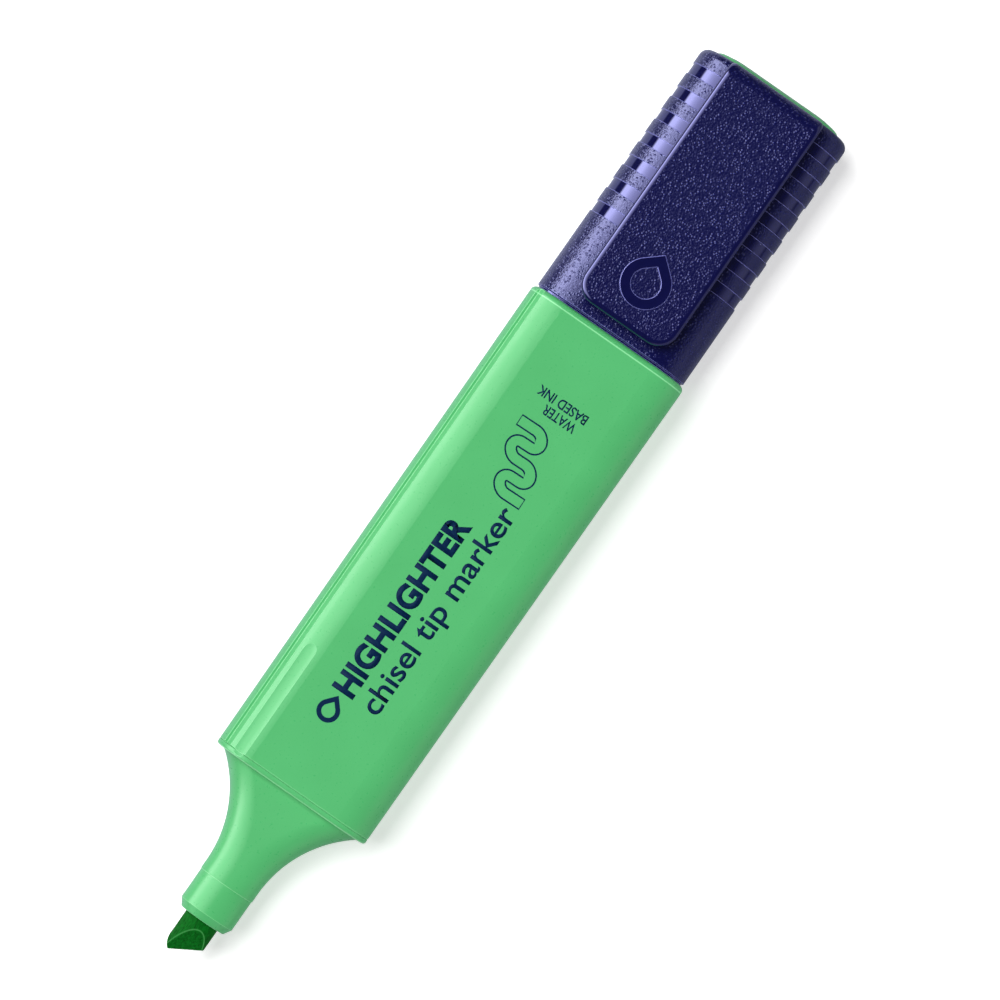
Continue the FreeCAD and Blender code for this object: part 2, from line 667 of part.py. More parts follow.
def groove_corners(wide, side):
    """The area outside one side of the cap's grooved outline, from front face round to back face."""
    corner = d.cap_corner - d.groove_deep
    wall = side * (wide / 2 - d.groove_deep)
    turn = side * (wide / 2 - d.cap_corner)
    face = d.cap_deep / 2 - d.groove_deep
    reach = side * d.groove_reach
    clear_y = side * (wide / 2 + d.cut_clear)
    clear_z = d.cap_deep / 2 + d.cut_clear
    return [
        (reach, -clear_z),
        (clear_y, -clear_z),
        (clear_y, clear_z),
        (reach, clear_z),
        (reach, face),
        (turn, face),
        (wall, d.cap_deep / 2 - d.cap_corner, -side * corner),
        (wall, d.cap_corner - d.cap_deep / 2),
        (turn, -face, -side * corner),
        (reach, -face),
    ]


def draw_cap_liner():
    """The inner cap: domed plate that fills the top window, two webs and the nib's sealing sleeve."""
    body = new_body("cap_liner")
    plate = section(body, "plate_outline", plate_bottom, cap_hollow_wide - 2 * d.insert_fit,
                    cap_hollow_deep - 2 * d.insert_fit, cap_hollow_corner - d.insert_fit)
    pad(body, "plate", plate, d.liner_plate)
    wide = d.insert_wide - 2 * d.insert_fit
    deep = d.insert_deep - 2 * d.insert_fit
    corner = d.insert_corner - d.insert_fit
    pad(body, "stem", section(body, "stem_outline", plate_top, wide, deep, corner), d.cap_lip)
    levels = []
    for number in range(DOME_STEPS + 1):
        angle = math.pi / 2 * number / DOME_STEPS
        inset = d.dome_inset * (1 - math.cos(angle))
        levels.append(section(body, f"dome_{number}", cap_top + d.dome_height * math.sin(angle),
                              wide - 2 * inset, deep - 2 * inset, corner - inset))
    loft(body, "dome", levels)
    sleeve_length = plate_bottom - cap_rim - d.sleeve_mouth
    sleeve = disc(body, "sleeve_outline", plate_bottom, d.sleeve_round)
    pad(body, "sleeve", sleeve, sleeve_length, forwards=False)
    webs = new_sketch(body, "web_outline", SECTION, plate_bottom)
    half_wide = cap_hollow_wide / 2 - d.insert_fit
    half_thick = d.web_thick / 2
    draw_outline(webs, [(-half_wide, -half_thick), (half_wide, -half_thick), (half_wide, half_thick),
                        (-half_wide, half_thick)])
    pad(body, "webs", webs, d.web_length, forwards=False)
    bore = disc(body, "bore_outline", plate_bottom, d.collar_round + 2 * d.sleeve_fit)
    pocket(body, "bore", bore, sleeve_length)
    return body


def draw_pocket_clip():
    """The clip: a flat blade with a rolled rim, a raised ink drop, a toe and a round root."""
    body = new_body("pocket_clip")
    free_end = cap_top - d.clip_length
    outer = cap_front + d.clip_rise
    inner = outer - d.clip_thick
    toe = free_end + d.toe_from_end
    toe_drop = inner - cap_front - d.toe_clear
    toe_half = (2 * d.toe_radius * toe_drop - toe_drop * toe_drop).root()
    root_x = cap_top - d.hinge_from_top
    root_z = cap_front + d.hinge_rise
    roll = d.hinge_round / 2
    top_end = cap_top - d.clip_top_inset
    curve_start = top_end - d.clip_top_curve
    under = cap_front + d.clip_root_clear
    under_run = (roll * roll - (under - root_z) * (under - root_z)).root()
    profile = new_sketch(body, "profile", SIDE)
    draw_outline(profile, [
        (free_end, outer),
        (free_end, inner),
        (toe - toe_half, inner),
        (toe + toe_half, inner, d.toe_radius),
        (root_x - d.hinge_round, inner),
        (root_x - roll * d.clip_root_lean.cos(), root_z + roll * d.clip_root_lean.sin()),
        (root_x, root_z - roll, roll),
        (root_x + under_run, under, roll),
        (top_end, under),
        (top_end, outer - d.clip_top_curve),
        (curve_start, outer, d.clip_top_curve),
    ])
    pad(body, "blade", profile, d.clip_wide, both_ways=True)
    half = d.clip_wide / 2
    for side, label in ((1, "left"), (-1, "right")):
        trim = new_sketch(body, f"{label}_trim_outline", SECTION, root_x - d.hinge_round)
        edge = side * d.hinge_wide / 2
        beyond = side * (half + d.cut_clear)
        below = root_z - d.hinge_round
        draw_outline(trim, [(edge, below), (beyond, below), (beyond, under), (edge, under)])
        pocket(body, f"{label}_trim", trim, d.hinge_round * 2, forwards=True)
    round_edges(body, "corner_rounding", d.clip_corner,
                lambda p: near(p.x, free_end) and near(abs(p.y), half))
    round_edges(body, "rim_rounding", d.clip_rim,
                lambda p: on_clip_rim(p, free_end, half, outer, curve_start))
    mark = new_sketch(body, "mark_outline", PLAN, outer - d.mark_high)
    mark_x = free_end + d.mark_from_end
    outer_round = d.mark_round / 2
    inner_round = outer_round - d.mark_line
    draw_outline(mark, drop_corners(mark_x, outer_round, d.mark_point))
    draw_outline(mark, drop_corners(mark_x, inner_round, d.mark_point * inner_round / outer_round))
    pad(body, "mark", mark, 2 * d.mark_high)
    return body


def drop_corners(middle, radius, point):
    """A drop's outline: an arc round its middle, and two straight sides that meet at its point."""
    lean = radius / point
    along = radius * lean
    across = radius * (1 - lean * lean).root()
    return [
        (middle + point, 0),
        (middle + along, across),
        (middle - radius, 0, radius),
        (middle + along, -across, radius),
    ]


def on_clip_rim(point, free_end, half, outer, curve_start):
    """True on the edge all round the clip's outer face, its round corners and top curve included."""
    if point.x > curve_start.value:
        centre_z = outer.value - d.clip_top_curve.value
        on_curve = near(math.hypot(point.x - curve_start.value, point.z - centre_z), d.clip_top_curve)
        return on_curve and near(abs(point.y), half)
    if not near(point.z, outer):
        return False
    corner = d.clip_corner.value
    along = point.x - free_end.value - corner
    across = abs(point.y) - half.value + corner
    if along < 0 and across > 0:
        return near(math.hypot(along, across), corner)
    return near(abs(point.y), half) or near(point.x, free_end)


bodies = [
    draw_barrel(),
    draw_front_section(),
    draw_nib(),
    draw_ink_reservoir(),
    draw_reservoir_film(),
    draw_rear_plug(),
    draw_cap_shell(),
    draw_cap_liner(),
    draw_pocket_clip(),
]
doc.recompute()

for item in doc.Objects:
    if "Invalid" in item.State or "Error" in item.State:
        raise RuntimeError(f"{item.Label} failed: {item.State}")
for body in bodies:
    if body.Shape.isNull() or not body.Shape.isValid() or len(body.Shape.Solids) != 1:
        raise RuntimeError(f"{body.Label} has no valid single solid")

os.makedirs("parts", exist_ok=True)
for body in bodies:
    body.Shape.exportStep(f"parts/{body.Label}.step")
    box = body.Shape.BoundBox
    print(f"{body.Label}: {box.XLength:.2f} x {box.YLength:.2f} x {box.ZLength:.2f} mm, "
          f"{body.Shape.Volume / 1000:.2f} cm3")
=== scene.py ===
"""Looks for the flat-barrelled highlighter: moulded plastics, felt nib, printed marks, light, camera."""
import math

import bmesh
import bpy
from mathutils import Matrix, Vector, kdtree, noise


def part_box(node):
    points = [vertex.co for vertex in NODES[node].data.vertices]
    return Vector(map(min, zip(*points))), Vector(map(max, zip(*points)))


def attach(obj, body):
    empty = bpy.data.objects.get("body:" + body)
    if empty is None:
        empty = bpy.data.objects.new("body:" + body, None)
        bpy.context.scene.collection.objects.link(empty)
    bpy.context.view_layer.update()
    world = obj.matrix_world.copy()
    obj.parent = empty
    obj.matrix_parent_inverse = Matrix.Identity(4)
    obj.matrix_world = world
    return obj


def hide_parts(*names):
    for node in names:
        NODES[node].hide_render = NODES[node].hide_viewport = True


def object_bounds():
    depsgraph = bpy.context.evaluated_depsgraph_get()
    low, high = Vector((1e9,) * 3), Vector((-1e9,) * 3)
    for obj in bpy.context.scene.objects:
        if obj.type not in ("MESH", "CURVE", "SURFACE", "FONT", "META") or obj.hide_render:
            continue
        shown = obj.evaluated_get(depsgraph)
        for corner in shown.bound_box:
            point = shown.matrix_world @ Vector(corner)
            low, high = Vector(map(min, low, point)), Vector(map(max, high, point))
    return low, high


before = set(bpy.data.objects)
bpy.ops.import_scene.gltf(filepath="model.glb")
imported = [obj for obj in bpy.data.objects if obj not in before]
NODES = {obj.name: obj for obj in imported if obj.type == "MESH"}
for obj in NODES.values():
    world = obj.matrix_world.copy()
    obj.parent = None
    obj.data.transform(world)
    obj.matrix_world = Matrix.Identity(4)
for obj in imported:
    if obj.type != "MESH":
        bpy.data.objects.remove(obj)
cad_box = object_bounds()
scene = bpy.context.scene

MM = 0.001
BARREL_LOW, BARREL_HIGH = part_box("barrel")
_, CAP_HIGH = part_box("cap_shell")
_, CLIP_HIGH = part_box("pocket_clip")
FRONT_LOW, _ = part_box("front_section")
AXIS_Z = (BARREL_LOW.z + BARREL_HIGH.z) / 2
FLANGE_THICK = 0.85 * MM
SHOULDER = BARREL_LOW.x - FLANGE_THICK

# grip grooves down both sides of the cap
GROOVE_COUNT = 7
GROOVE_PITCH = 4.01 * MM
GROOVE_WIDE = 1.8 * MM
GROOVE_FIRST = 2.9 * MM
GROOVE_REACH = 5.2 * MM

# painted highlight lines round the barrel: on the flange's front edge and where the rear rounding starts
HIGHLIGHT_LINES = (SHOULDER + 0.08 * MM, BARREL_HIGH.x - 0.9 * MM)

# clip
MARK_HIGH = 0.1 * MM
CLIP_TOP_CURVE = 2.6 * MM

# felt nib: fibres start from a fine remesh, and a painted highlight lies along the creases
CREASE_HIGHLIGHT = "crease_highlight"
NIB_JOIN = 2 * MM
NIB_VOXEL = 0.09 * MM
NIB_SMOOTHINGS = 3
CREASE_ANGLE = math.radians(18)
CREASE_STEP = 0.04 * MM
CREASE_HIGHLIGHT_REACH = 0.13 * MM

# printed layer on the barrel
PRINT_LIFT = 0.006 * MM
PRINT_THICK = 0.006 * MM
TEXT_START = SHOULDER + 16.1 * MM
DROP_PLACE = (SHOULDER + 12.9 * MM, 2.3 * MM)
SCRIBBLE_PLACE = (SHOULDER + 57.6 * MM, 0.1 * MM)
SCRIBBLE_TURN = math.radians(17)

# plastics
EDGE_RADIUS_GREEN = 0.13 * MM
EDGE_RADIUS_NAVY = 0.12 * MM
NAVY_DARK = (0.0018, 0.0022, 0.040)
# pale navy of the painted highlight along sharp edges
NAVY_EDGE_HIGHLIGHT = (0.12, 0.125, 0.36)

# studio: levels are stops of (height of the direction, brightness)
FLOOR_HALF = 4.0
BOX_LIGHT = 7.0
FILL_LIGHT = 0.34
TABLE_LIGHT = (0.60, 0.63, 0.80)
DIM_LIGHT = (0.06, 0.06, 0.06)
SEEN_LIGHT = (1.2, 1.2, 1.2, 1)
BOX_LEVELS = ((-0.02, 0), (0.08, 1), (0.28, 1), (0.45, 0.68), (0.60, 0.50), (0.75, 0.37), (0.87, 0.24),
              (0.97, 0.08), (0.995, 0))
LAMP_AWAY = 1.5

# camera: a long lens, tipped a little off straight down and turned round the line of sight
SENSOR_WIDTH = 36
LENS = 252
CAMERA_AWAY = 1.0
CAMERA_TIP = math.radians(1.15)
CAMERA_LEAN = math.radians(55.09)
CAMERA_TARGET = Vector((4.30, -0.58, 12.0)) * MM


# ---------------------------------------------------------------- materials


def new_material(name):
    """A node material, its tree and its Principled shader."""
    material = bpy.data.materials.new(name)
    material.use_nodes = True
    tree = material.node_tree
    return material, tree, tree.nodes["Principled BSDF"]


def add_node(tree, kind, **values):
    """A node whose sockets, by name, are set to a value or joined to another socket."""
    node = tree.nodes.new(kind)
    for name, value in values.items():
        socket = node.inputs[name.replace("_", " ")]
        if isinstance(value, bpy.types.NodeSocket):
            tree.links.new(value, socket)
        else:
            socket.default_value = value
    return node


def place(tree, stretch=(1, 1, 1)):
    """The point in the shared frame, in millimetres, stretched along each axis."""
    where = tree.nodes.new("ShaderNodeTexCoord")
    scaled = tree.nodes.new("ShaderNodeMapping")
    scaled.inputs["Scale"].default_value = [s / MM for s in stretch]
    tree.links.new(where.outputs["Object"], scaled.inputs["Vector"])
    return scaled.outputs["Vector"]


def grain(tree, where, per_mm, detail=2.0, roughness=0.5):
    """A noise value from 0 to 1 with about that many grains in a millimetre."""
    made = add_node(tree, "ShaderNodeTexNoise", Vector=where, Scale=per_mm, Detail=detail,
                    Roughness=roughness)
    return made.outputs["Fac"]


def between(tree, value, low, high, start=0.3, end=0.7):
    """The value, spread from start..end to low..high and held there."""
    made = add_node(tree, "ShaderNodeMapRange", Value=value, From_Min=start, From_Max=end,
                    To_Min=low, To_Max=high)
    return made.outputs["Result"]


def tint(tree, factor, dark, light):
    """A colour from dark to light as the factor goes from 0 to 1."""
    made = tree.nodes.new("ShaderNodeMix")
    made.data_type = "RGBA"
    tree.links.new(factor, made.inputs["Factor"])
    made.inputs["A"].default_value = (*dark, 1)
    made.inputs["B"].default_value = (*light, 1)
    return made.outputs["Result"]


def relief(tree, height, depth, strength=1.0, under=None):
    """A bump of that depth in metres, laid over another normal if one is given."""
    made = add_node(tree, "ShaderNodeBump", Height=height, Distance=depth, Strength=strength)
    if under is not None:
        tree.links.new(under, made.inputs["Normal"])
    return made.outputs["Normal"]


def edges(tree, radius):
    """A normal that rounds sharp moulded edges by a hair, and how near to such an edge a point is."""
    rounded = tree.nodes.new("ShaderNodeBevel")
    rounded.samples = 8
    rounded.inputs["Radius"].default_value = radius
    flat = tree.nodes.new("ShaderNodeNewGeometry")
    match = tree.nodes.new("ShaderNodeVectorMath")
    match.operation = "DOT_PRODUCT"
    tree.links.new(rounded.outputs["Normal"], match.inputs[0])
    tree.links.new(flat.outputs["Normal"], match.inputs[1])
    nearness = between(tree, match.outputs["Value"], 1, 0, 0.975, 0.998)
    return rounded.outputs["Normal"], nearness


def painted_edge_highlight(tree, colour, nearness, pale):
    """A painted highlight: the colour, turned paler where a sharp edge is near."""
    made = tree.nodes.new("ShaderNodeMix")
    made.data_type = "RGBA"
    tree.links.new(nearness, made.inputs["Factor"])
    tree.links.new(colour, made.inputs["A"])
    made.inputs["B"].default_value = (*pale, 1)
    return made.outputs["Result"]


def compute(tree, operation, first, second=0.0):
    """A number worked out from one or two others."""
    made = tree.nodes.new("ShaderNodeMath")
    made.operation = operation
    for socket, value in zip(made.inputs, (first, second)):
        if isinstance(value, bpy.types.NodeSocket):
            tree.links.new(value, socket)
        else:
            socket.default_value = value
    return made.outputs["Value"]


def painted_highlight_line(tree, where, at, nearness):
    """The nearness to a sharp edge, raised to 1 on a thin painted highlight line that runs round the pen at
    x = at.
    """
    split = add_node(tree, "ShaderNodeSeparateXYZ", Vector=where)
    away = compute(tree, "ABSOLUTE", compute(tree, "SUBTRACT", split.outputs["X"], at / MM))
    return compute(tree, "MAXIMUM", nearness, between(tree, away, 1, 0, 0.04, 0.13))


def green_plastic():
    """Satin moulded polypropylene: faint colour drift, orange peel, edges rounded in the normal, and a
    painted highlight along sharp edges and on two lines round the barrel.
    """
    material, tree, shader = new_material("green_plastic")
    where = place(tree)
    normal, nearness = edges(tree, EDGE_RADIUS_GREEN)
    for at in HIGHLIGHT_LINES:
        nearness = painted_highlight_line(tree, where, at, nearness)
    drift = between(tree, grain(tree, where, 0.12, 3), 0, 1)
    colour = tint(tree, drift, (0.0670, 0.357, 0.1205), (0.0715, 0.376, 0.1285))
    # painted highlight: paler along sharp edges and on the two lines round the barrel
    colour = painted_edge_highlight(tree, colour, nearness, (0.21, 0.60, 0.28))
    tree.links.new(colour, shader.inputs["Base Color"])
    tree.links.new(between(tree, grain(tree, where, 2.5, 2), 0.27, 0.32), shader.inputs["Roughness"])
    tree.links.new(relief(tree, grain(tree, where, 0.9, 1), 0.003 * MM, 0.5, normal),
                   shader.inputs["Normal"])
    shader.inputs["IOR"].default_value = 1.45
    return material


def scattered(tree, where, per_mm, share):
    """Small domes, 1 at their tops, strewn at random with about that many places in a millimetre."""
    cells = add_node(tree, "ShaderNodeTexVoronoi", Vector=where, Scale=per_mm)
    dome = between(tree, cells.outputs["Distance"], 1, 0, 0.08, 0.52)
    pick = add_node(tree, "ShaderNodeSeparateColor", Color=cells.outputs["Color"]).outputs["Red"]
    return compute(tree, "MULTIPLY", dome, between(tree, pick, 0, 1, 1 - share - 0.1, 1 - share + 0.1))


def navy_textured():
    """Spark-eroded navy plastic: dark, with fine grain, small specks whose flanks catch the light and whose
    tops are painted lighter as a glint, and a painted highlight along sharp edges.
    """
    material, tree, shader = new_material("navy_textured")
    where = place(tree)
    normal, nearness = edges(tree, EDGE_RADIUS_NAVY)
    fine = grain(tree, where, 3.0, 2.0, 0.6)
    specks = scattered(tree, where, 2.7, 0.55)
    # painted glint: speck tops lighter in colour, besides their real bump and lower roughness
    colour = tint(tree, specks, NAVY_DARK, (0.0080, 0.0100, 0.085))
    # painted highlight along sharp edges
    colour = painted_edge_highlight(tree, colour, nearness, NAVY_EDGE_HIGHLIGHT)
    tree.links.new(colour, shader.inputs["Base Color"])
    tree.links.new(between(tree, specks, 0.16, 0.10, 0, 1), shader.inputs["Roughness"])
    normal = relief(tree, fine, 0.072 * MM, 1.0, normal)
    tree.links.new(relief(tree, specks, 0.070 * MM, 1.0, normal), shader.inputs["Normal"])
    shader.inputs["IOR"].default_value = 1.9
    shader.inputs["Specular Tint"].default_value = (0.54, 0.56, 1.0, 1)
    return material


def navy_polished():
    """Polished navy plastic, with the slight waviness of a moulded face and a painted highlight along sharp
    edges.
    """
    material, tree, shader = new_material("navy_polished")
    where = place(tree)
    normal, nearness = edges(tree, EDGE_RADIUS_NAVY)
    coarse = grain(tree, where, 1.1, 2)
    colour = tint(tree, between(tree, coarse, 0, 1), (0.0014, 0.0018, 0.034), NAVY_DARK)
    # painted highlight along sharp edges
    colour = painted_edge_highlight(tree, colour, nearness, NAVY_EDGE_HIGHLIGHT)
    tree.links.new(colour, shader.inputs["Base Color"])
    tree.links.new(between(tree, coarse, 0.06, 0.10), shader.inputs["Roughness"])
    tree.links.new(relief(tree, coarse, 0.004 * MM, 0.5, normal), shader.inputs["Normal"])
    shader.inputs["IOR"].default_value = 2.1
    shader.inputs["Specular Tint"].default_value = (0.49, 0.50, 1.0, 1)
    return material


def felt():
    """Bonded polyester fibre, dark with ink, with its fibres along the pen and a painted highlight along
    its creases.
    """
    material, tree, shader = new_material("nib_felt")
    fibres = grain(tree, place(tree, (0.25, 1, 1)), 5, 3, 0.65)
    speckle = grain(tree, place(tree), 7, 2)
    colour = tint(tree, between(tree, fibres, 0, 1), (0.0008, 0.038, 0.0026), (0.003, 0.130, 0.011))
    # painted highlight: paler along the nib's creases, read from the attribute set on the felt nib
    crease_highlight = tree.nodes.new("ShaderNodeAttribute")
    crease_highlight.attribute_name = CREASE_HIGHLIGHT
    colour = painted_edge_highlight(tree, colour, between(tree, crease_highlight.outputs["Fac"], 0, 0.8, 0, 1), (0.06, 0.30, 0.08))
    tree.links.new(colour, shader.inputs["Base Color"])
    tree.links.new(between(tree, speckle, 0.65, 0.9), shader.inputs["Roughness"])
    normal = relief(tree, speckle, 0.05 * MM, 0.6, relief(tree, fibres, 0.06 * MM, 0.8))
    tree.links.new(normal, shader.inputs["Normal"])
    shader.inputs["Specular IOR Level"].default_value = 0.05
    return material


def reservoir_fibre():
    """The pale, ink-soaked fibre of the reservoir."""
    material, tree, shader = new_material("ink_fibre")
    fibres = grain(tree, place(tree, (0.08, 1, 1)), 6, 3, 0.6)
    colour = tint(tree, between(tree, fibres, 0, 1), (0.12, 0.52, 0.14), (0.26, 0.75, 0.26))
    tree.links.new(colour, shader.inputs["Base Color"])
    tree.links.new(relief(tree, fibres, 0.05 * MM, 0.7), shader.inputs["Normal"])
    shader.inputs["Roughness"].default_value = 0.9
    return material


def clear_film():
    """The thin clear film round the reservoir."""
    material, tree, shader = new_material("clear_film")
    wrinkle = grain(tree, place(tree, (0.2, 1, 1)), 0.8, 2)
    tree.links.new(tint(tree, wrinkle, (0.80, 0.86, 0.83), (0.92, 0.96, 0.94)), shader.inputs["Base Color"])
    tree.links.new(between(tree, wrinkle, 0.05, 0.15), shader.inputs["Roughness"])
    tree.links.new(relief(tree, wrinkle, 0.02 * MM, 0.5), shader.inputs["Normal"])
    shader.inputs["Transmission Weight"].default_value = 0.7
    return material


def print_ink():
    """Pad-printed ink: dark blue, slightly uneven and a little duller than the plastic under it."""
    material, tree, shader = new_material("print_ink")
    cover = between(tree, grain(tree, place(tree), 3, 3), 0, 1)
    colour = tint(tree, cover, (0.0018, 0.0120, 0.042), (0.0028, 0.0155, 0.050))
    tree.links.new(colour, shader.inputs["Base Color"])
    tree.links.new(between(tree, cover, 0.55, 0.7, 0, 1), shader.inputs["Roughness"])
    shader.inputs["Specular IOR Level"].default_value = 0.06
    return material


def floor_card():
    """Pale light-table card with a trace of tooth."""
    material, tree, shader = new_material("floor_card")
    tooth = grain(tree, place(tree), 0.8, 3)
    colour = tint(tree, tooth, (0.61, 0.61, 0.61), (0.63, 0.63, 0.63))
    tree.links.new(colour, shader.inputs["Base Color"])
    tree.links.new(colour, shader.inputs["Emission Color"])
    shader.inputs["Emission Strength"].default_value = 1.0
    shader.inputs["Roughness"].default_value = 0.9
    shader.inputs["Specular IOR Level"].default_value = 0.1
    return material


# ---------------------------------------------------------------- CAD nodes


def dress(node, materials, choose=None):
    """Give a CAD node its materials; choose(polygon) picks the slot of each polygon."""
    mesh = NODES[node].data
    mesh.materials.clear()
    for material in materials:
        mesh.materials.append(material)
    for polygon in mesh.polygons:
        polygon.material_index = choose(polygon) if choose else 0


def in_groove(polygon):
    """1 on the polished floor of a grip groove and inside the cap, 0 on the textured outside."""
    centre = polygon.center
    facing = centre.y * polygon.normal.y + (centre.z - AXIS_Z) * polygon.normal.z
    if facing < 0:
        return 1
    from_top = (CAP_HIGH.x - centre.x - GROOVE_FIRST) % GROOVE_PITCH
    number = (CAP_HIGH.x - centre.x - GROOVE_FIRST) // GROOVE_PITCH
    within = 0 <= number < GROOVE_COUNT and 0.02 * MM < from_top < GROOVE_WIDE - 0.02 * MM
    return 1 if within and abs(centre.y) > GROOVE_REACH - 0.01 * MM else 0


def off_clip_face(polygon):
    """0 on the clip's textured face and its curved top, 1 on its polished rim, mark and underside."""
    centre, normal = polygon.center, polygon.normal
    face = CLIP_HIGH.z - MARK_HIGH
    if abs(centre.z - face) < 0.01 * MM and normal.z > 0.999:
        return 0
    curve_start = CLIP_HIGH.x - CLIP_TOP_CURVE
    reach = math.hypot(centre.x - curve_start, centre.z - (face - CLIP_TOP_CURVE))
    curved = centre.x > curve_start and abs(reach - CLIP_TOP_CURVE) < 0.05 * MM
    return 0 if curved and abs(normal.y) < 0.01 else 1


GREEN = green_plastic()
NAVY = navy_textured()
POLISHED = navy_polished()
INK = print_ink()
FELT = felt()

for name in ("barrel", "front_section", "cap_liner"):
    dress(name, [GREEN])
dress("rear_plug", [POLISHED])
dress("cap_shell", [NAVY, POLISHED], in_groove)
dress("pocket_clip", [NAVY, POLISHED], off_clip_face)
dress("ink_reservoir", [reservoir_fibre()])
dress("reservoir_film", [clear_film()])
dress("nib", [FELT])


# ---------------------------------------------------------------- pieces


def new_piece(name, mesh, material, body):
    """A mesh object in the shared frame that rides on a CAD body."""
    piece = bpy.data.objects.new(name, mesh)
    scene.collection.objects.link(piece)
    mesh.materials.clear()
    mesh.materials.append(material)
    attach(piece, body)
    return piece


def crease_points(mesh):
    """A search tree of points along a mesh's creases, where the faces turn by more than 18 degrees."""
    shape = bmesh.new()
    shape.from_mesh(mesh)
    bmesh.ops.remove_doubles(shape, verts=shape.verts, dist=1e-7)
    points = []
    for edge in shape.edges:
        if len(edge.link_faces) == 2 and edge.calc_face_angle() > CREASE_ANGLE:
            start, end = (vertex.co.copy() for vertex in edge.verts)
            steps = max(1, round((end - start).length / CREASE_STEP))
            points += [start.lerp(end, i / steps) for i in range(steps + 1)]
    shape.free()
    tree = kdtree.KDTree(len(points))
    for index, point in enumerate(points):
        tree.insert(point, index)
    tree.balance()
    return tree


def felt_nib():
    """The nib with softened edges and fibres that stand out along it, over the CAD nib's shape."""
    join = FRONT_LOW.x + NIB_JOIN
    parts = []
    for keep_tip in (True, False):
        part = bmesh.new()
        part.from_mesh(NODES["nib"].data)
        bmesh.ops.remove_doubles(part, verts=part.verts, dist=1e-7)
        cut = bmesh.ops.bisect_plane(part, geom=part.verts[:] + part.edges[:] + part.faces[:],
                                     plane_co=(join, 0, 0), plane_no=(1, 0, 0),
                                     clear_outer=keep_tip, clear_inner=not keep_tip)
        rim = [item for item in cut["geom_cut"] if isinstance(item, bmesh.types.BMEdge)]
        bmesh.ops.holes_fill(part, edges=rim)
        mesh = bpy.data.meshes.new("nib_part")
        part.to_mesh(mesh)
        part.free()
        parts.append(mesh)
    tip = bpy.data.objects.new("nib_tip_rough", parts[0])
    scene.collection.objects.link(tip)
    remesh = tip.modifiers.new("remesh", "REMESH")
    remesh.mode = "VOXEL"
    remesh.voxel_size = NIB_VOXEL
    smooth = tip.modifiers.new("smooth", "SMOOTH")
    smooth.iterations = NIB_SMOOTHINGS
    depsgraph = bpy.context.evaluated_depsgraph_get()
    fine = bpy.data.meshes.new_from_object(tip.evaluated_get(depsgraph))
    bpy.data.objects.remove(tip)
    creases = crease_points(NODES["nib"].data)
    crease_highlight = fine.attributes.new(CREASE_HIGHLIGHT, "FLOAT", "POINT")
    for vertex, normal in zip(fine.vertices, [v.vector.copy() for v in fine.vertex_normals]):
        # painted highlight: full on a crease of the CAD nib, fading to none a short way off
        crease_highlight.data[vertex.index].value = max(0, 1 - creases.find(vertex.co)[2] / CREASE_HIGHLIGHT_REACH)
        point = vertex.co / MM
        strand = noise.noise(Vector((point.x * 0.6, point.y * 5, point.z * 5)))
        fuzz = noise.noise(point * 7)
        vertex.co += normal * (0.022 * strand + 0.012 * fuzz + 0.03) * MM
    whole = bmesh.new()
    whole.from_mesh(fine)
    whole.from_mesh(parts[1])
    mesh = bpy.data.meshes.new("felt_nib")
    whole.to_mesh(mesh)
    whole.free()
    for polygon in mesh.polygons:
        polygon.use_smooth = True
    piece = new_piece("felt_nib", mesh, FELT, "barrel")
    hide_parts("nib")
    return piece


def lay_print(name, mesh, place_matrix):
    """Put a flat mark, drawn in millimetres, on the barrel's front face as a thin layer of ink."""
    mesh.transform(place_matrix @ Matrix.Diagonal((MM, MM, 1, 1)))
    return new_piece(name, mesh, INK, "barrel")


def flat_layer(outline_mesh):
    """Turn a flat mesh into a thin closed layer from just above the barrel to the ink's thickness."""
    layer = bmesh.new()
    layer.from_mesh(outline_mesh)
    made = bmesh.ops.extrude_face_region(layer, geom=layer.faces[:])
    lifted = [item for item in made["geom"] if isinstance(item, bmesh.types.BMVert)]
    bmesh.ops.translate(layer, verts=lifted, vec=(0, 0, PRINT_THICK))
    bmesh.ops.recalc_face_normals(layer, faces=layer.faces[:])
    layer.to_mesh(outline_mesh)
    layer.free()
    return outline_mesh


def words(name, text, length, height, start_x, middle_y, turn=0, weight=0.0, spread=1.0):
    """Generic lettering, fitted to a length and a letter height in millimetres."""
    curve = bpy.data.curves.new(name, "FONT")
    curve.body = text
    curve.offset = weight
    curve.space_character = spread
    curve.resolution_u = 6
    source = bpy.data.objects.new(name + "_source", curve)
    scene.collection.objects.link(source)
    depsgraph = bpy.context.evaluated_depsgraph_get()
    mesh = bpy.data.meshes.new_from_object(source.evaluated_get(depsgraph))
    bpy.data.objects.remove(source)
    low = [min(v.co[i] for v in mesh.vertices) for i in range(2)]
    high = [max(v.co[i] for v in mesh.vertices) for i in range(2)]
    fit = Matrix.Diagonal((length / (high[0] - low[0]), height / (high[1] - low[1]), 1, 1))
    mesh.transform(fit @ Matrix.Translation((-low[0], -(low[1] + high[1]) / 2, 0)))
    flat_layer(mesh)
    where = Matrix.Translation((start_x, middle_y, BARREL_HIGH.z + PRINT_LIFT))
    return lay_print(name, mesh, where @ Matrix.Rotation(turn, 4, "Z"))


def flat_mesh(name, loops):
    """A filled flat mesh from closed loops of points in millimetres; later loops are holes."""
    shape = bmesh.new()
    edges = []
    for loop in loops:
        verts = [shape.verts.new((x, y, 0)) for x, y in loop]
        edges += [shape.edges.new((verts[i - 1], verts[i])) for i in range(len(verts))]
    bmesh.ops.triangle_fill(shape, edges=edges, use_beauty=True)
    mesh = bpy.data.meshes.new(name)
    shape.to_mesh(mesh)
    shape.free()
    return mesh


